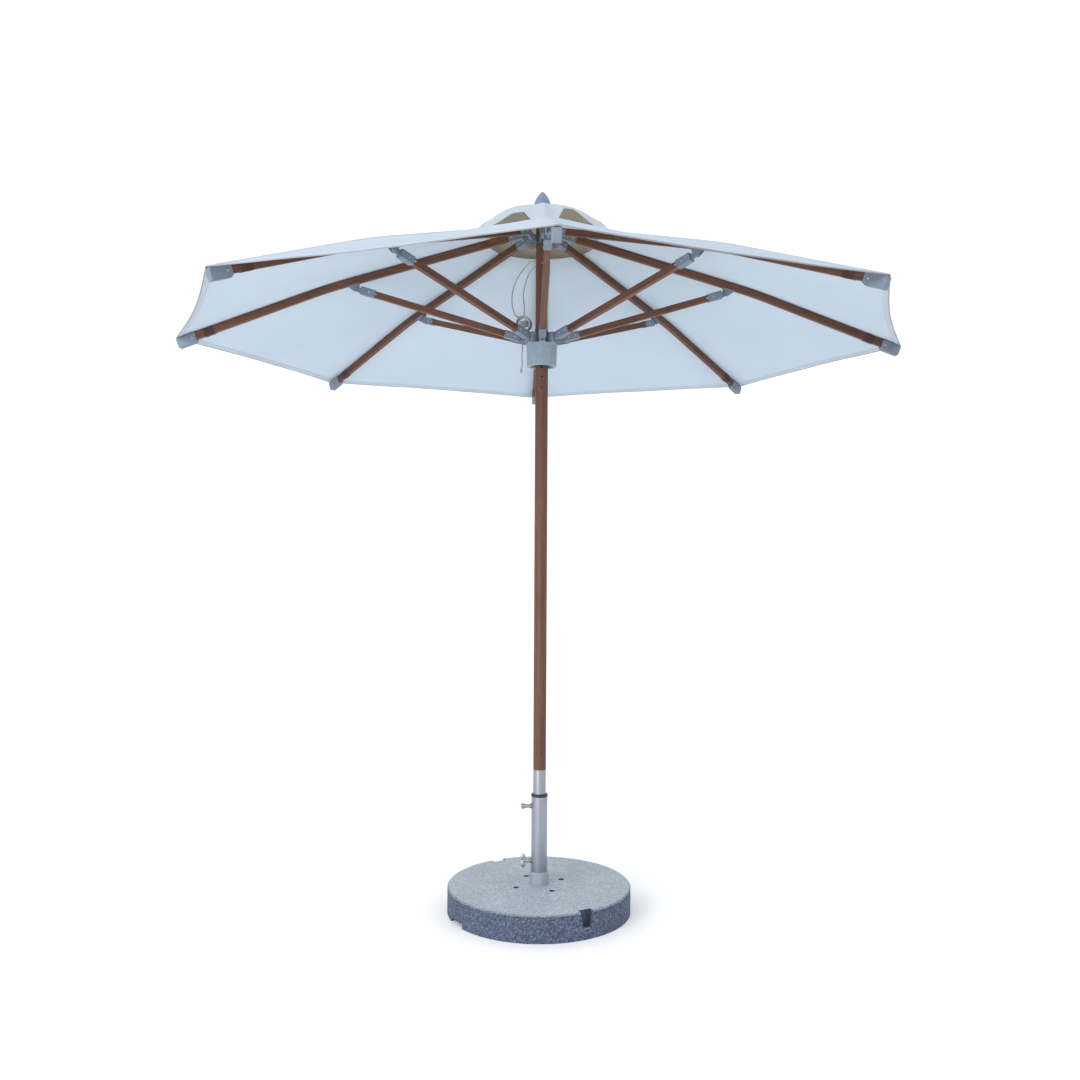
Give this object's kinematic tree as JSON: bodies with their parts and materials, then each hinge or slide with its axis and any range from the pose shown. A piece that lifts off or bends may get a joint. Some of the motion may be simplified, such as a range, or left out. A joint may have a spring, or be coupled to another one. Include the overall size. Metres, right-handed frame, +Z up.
{
  "type": "patio umbrella with base",
  "caption": "Wooden market umbrella with an eight-sided canopy, vent cap, folding ribs and a round granite base with a steel tube.",
  "frame": {"origin": "middle of the base's underside, on the pole's axis", "axes": "+Z up along the pole, -Y towards the viewer along the near rib, +X to the right"},
  "size_m": [2.7416, 2.7416, 2.7085],
  "materials": {
    "granite": "rough speckled stone, density 2.7 like aluminium",
    "plate_steel": "black coated steel",
    "bolt_steel": "zinc plated",
    "collar_steel": "satin",
    "tube_steel": "brushed stainless",
    "black_plastic": "matte",
    "screw_steel": "satin zinc",
    "pole_wood": "oiled brown hardwood",
    "sleeve_steel": "satin",
    "grey_resin": "satin grey resin",
    "pin_steel": "satin",
    "finial_grey": "satin light grey",
    "canopy_cloth": "plain woven",
    "rope": "braided",
    "pulley_resin": "satin",
    "fitting_grey": "satin grey resin",
    "rib_wood": "oiled brown hardwood",
    "strut_wood": "oiled brown hardwood"
  },
  "bodies": {
    "base": {"granite_base": "granite", "anchor_plate": "plate_steel", "anchor_bolts": "bolt_steel", "base_collar": "collar_steel", "base_tube": "tube_steel", "tube_top_ring": "black_plastic"},
    "thumbscrew_upper": {"thumbscrew_upper": "screw_steel"},
    "thumbscrew_lower": {"thumbscrew_lower": "screw_steel"},
    "pole": {"pole_wood": "pole_wood", "pole_sleeve": "sleeve_steel", "top_hub": "grey_resin", "pole_pins": "pin_steel", "finial": "finial_grey", "vent_cap": "canopy_cloth", "rope_line": "rope", "rope_hank": "rope"},
    "pulley": {"pulley_sheave": "pulley_resin"},
    "runner": {"runner": "grey_resin", "runner_pins": "pin_steel"},
    "locking_pin": {"locking_pin": "pin_steel"},
    "rib_1": {"rib_1": "rib_wood", "rib_fittings_1": "fitting_grey", "canopy_gore_1": "canopy_cloth"},
    "strut_1": {"strut_1": "strut_wood", "strut_fittings_1": "fitting_grey"},
    "rib_2": {"rib_2": "rib_wood", "rib_fittings_2": "fitting_grey", "canopy_gore_2": "canopy_cloth"},
    "strut_2": {"strut_2": "strut_wood", "strut_fittings_2": "fitting_grey"},
    "rib_3": {"rib_3": "rib_wood", "rib_fittings_3": "fitting_grey", "canopy_gore_3": "canopy_cloth"},
    "strut_3": {"strut_3": "strut_wood", "strut_fittings_3": "fitting_grey"},
    "rib_4": {"rib_4": "rib_wood", "rib_fittings_4": "fitting_grey", "canopy_gore_4": "canopy_cloth"},
    "strut_4": {"strut_4": "strut_wood", "strut_fittings_4": "fitting_grey"},
    "rib_5": {"rib_5": "rib_wood", "rib_fittings_5": "fitting_grey", "canopy_gore_5": "canopy_cloth"},
    "strut_5": {"strut_5": "strut_wood", "strut_fittings_5": "fitting_grey"},
    "rib_6": {"rib_6": "rib_wood", "rib_fittings_6": "fitting_grey", "canopy_gore_6": "canopy_cloth"},
    "strut_6": {"strut_6": "strut_wood", "strut_fittings_6": "fitting_grey"},
    "rib_7": {"rib_7": "rib_wood", "rib_fittings_7": "fitting_grey", "canopy_gore_7": "canopy_cloth"},
    "strut_7": {"strut_7": "strut_wood", "strut_fittings_7": "fitting_grey"},
    "rib_8": {"rib_8": "rib_wood", "rib_fittings_8": "fitting_grey", "canopy_gore_8": "canopy_cloth"},
    "strut_8": {"strut_8": "strut_wood", "strut_fittings_8": "fitting_grey"}
  },
  "joints": [
    {"name": "pole_lift", "type": "slide", "parent": "base", "child": "pole", "axis": [0, 0, 1], "range_m": [0, 0.32]},
    {"name": "thumbscrew_upper_turn", "type": "hinge", "parent": "base", "child": "thumbscrew_upper", "pos_m": [-0.05, 0, 0.387], "axis": [-1, 0, 0], "range_deg": [0, 720]},
    {"name": "thumbscrew_lower_turn", "type": "hinge", "parent": "base", "child": "thumbscrew_lower", "pos_m": [-0.05, 0, 0.183], "axis": [-1, 0, 0], "range_deg": [0, 720]},
    {"name": "pulley_spin", "type": "hinge", "parent": "pole", "child": "pulley", "pos_m": [0, 0, 2.432], "axis": [0, 1, 0], "continuous": true},
    {"name": "rib_1_fold", "type": "hinge", "parent": "pole", "child": "rib_1", "pos_m": [0, -0.056, 2.521], "axis": [1, 0, 0], "range_deg": [0, 69.7], "deforming": ["canopy_gore_1", "vent_cap"]},
    {"name": "strut_1_swing", "type": "hinge", "parent": "rib_1", "child": "strut_1", "pos_m": [0, -0.70504, 2.332], "axis": [-1, 0, 0], "range_deg": [0, 139.4]},
    {"name": "rib_2_fold", "type": "hinge", "parent": "pole", "child": "rib_2", "pos_m": [0.0396, -0.0396, 2.521], "axis": [0.7071, 0.7071, 0], "range_deg": [0, 69.7], "deforming": ["canopy_gore_2"]},
    {"name": "strut_2_swing", "type": "hinge", "parent": "rib_2", "child": "strut_2", "pos_m": [0.49854, -0.49854, 2.332], "axis": [-0.7071, -0.7071, 0], "range_deg": [0, 139.4]},
    {"name": "rib_3_fold", "type": "hinge", "parent": "pole", "child": "rib_3", "pos_m": [0.056, 0, 2.521], "axis": [0, 1, 0], "range_deg": [0, 69.7], "deforming": ["canopy_gore_3"]},
    {"name": "strut_3_swing", "type": "hinge", "parent": "rib_3", "child": "strut_3", "pos_m": [0.70504, 0, 2.332], "axis": [0, -1, 0], "range_deg": [0, 139.4]},
    {"name": "rib_4_fold", "type": "hinge", "parent": "pole", "child": "rib_4", "pos_m": [0.0396, 0.0396, 2.521], "axis": [-0.7071, 0.7071, 0], "range_deg": [0, 69.7], "deforming": ["canopy_gore_4"]},
    {"name": "strut_4_swing", "type": "hinge", "parent": "rib_4", "child": "strut_4", "pos_m": [0.49854, 0.49854, 2.332], "axis": [0.7071, -0.7071, 0], "range_deg": [0, 139.4]},
    {"name": "rib_5_fold", "type": "hinge", "parent": "pole", "child": "rib_5", "pos_m": [0, 0.056, 2.521], "axis": [-1, 0, 0], "range_deg": [0, 69.7], "deforming": ["canopy_gore_5"]},
    {"name": "strut_5_swing", "type": "hinge", "parent": "rib_5", "child": "strut_5", "pos_m": [0, 0.70504, 2.332], "axis": [1, 0, 0], "range_deg": [0, 139.4]},
    {"name": "rib_6_fold", "type": "hinge", "parent": "pole", "child": "rib_6", "pos_m": [-0.0396, 0.0396, 2.521], "axis": [-0.7071, -0.7071, 0], "range_deg": [0, 69.7], "deforming": ["canopy_gore_6"]},
    {"name": "strut_6_swing", "type": "hinge", "parent": "rib_6", "child": "strut_6", "pos_m": [-0.49854, 0.49854, 2.332], "axis": [0.7071, 0.7071, 0], "range_deg": [0, 139.4]},
    {"name": "rib_7_fold", "type": "hinge", "parent": "pole", "child": "rib_7", "pos_m": [-0.056, 0, 2.521], "axis": [0, -1, 0], "range_deg": [0, 69.7], "deforming": ["canopy_gore_7"]},
    {"name": "strut_7_swing", "type": "hinge", "parent": "rib_7", "child": "strut_7", "pos_m": [-0.70504, 0, 2.332], "axis": [0, 1, 0], "range_deg": [0, 139.4]},
    {"name": "rib_8_fold", "type": "hinge", "parent": "pole", "child": "rib_8", "pos_m": [-0.0396, -0.0396, 2.521], "axis": [0.7071, -0.7071, 0], "range_deg": [0, 69.7], "deforming": ["canopy_gore_8"]},
    {"name": "strut_8_swing", "type": "hinge", "parent": "rib_8", "child": "strut_8", "pos_m": [-0.49854, -0.49854, 2.332], "axis": [-0.7071, 0.7071, 0], "range_deg": [0, 139.4]},
    {"name": "runner_hinge", "type": "hinge", "parent": "strut_1", "child": "runner", "pos_m": [0, -0.056, 2.143], "axis": [1, 0, 0], "range_deg": [0, 69.7]},
    {"name": "locking_pin_pull", "type": "slide", "parent": "runner", "child": "locking_pin", "axis": [0, 1, 0], "range_m": [0, 0.08]}
  ],
  "couplings": [
    {"joint": "strut_1_swing", "follows": "rib_1_fold", "ratio": 2},
    {"joint": "strut_2_swing", "follows": "rib_1_fold", "ratio": 2},
    {"joint": "rib_2_fold", "follows": "rib_1_fold", "ratio": 1},
    {"joint": "strut_3_swing", "follows": "rib_1_fold", "ratio": 2},
    {"joint": "rib_3_fold", "follows": "rib_1_fold", "ratio": 1},
    {"joint": "strut_4_swing", "follows": "rib_1_fold", "ratio": 2},
    {"joint": "rib_4_fold", "follows": "rib_1_fold", "ratio": 1},
    {"joint": "strut_5_swing", "follows": "rib_1_fold", "ratio": 2},
    {"joint": "rib_5_fold", "follows": "rib_1_fold", "ratio": 1},
    {"joint": "strut_6_swing", "follows": "rib_1_fold", "ratio": 2},
    {"joint": "rib_6_fold", "follows": "rib_1_fold", "ratio": 1},
    {"joint": "strut_7_swing", "follows": "rib_1_fold", "ratio": 2},
    {"joint": "rib_7_fold", "follows": "rib_1_fold", "ratio": 1},
    {"joint": "strut_8_swing", "follows": "rib_1_fold", "ratio": 2},
    {"joint": "rib_8_fold", "follows": "rib_1_fold", "ratio": 1},
    {"joint": "runner_hinge", "follows": "rib_1_fold", "ratio": 1}
  ]
}
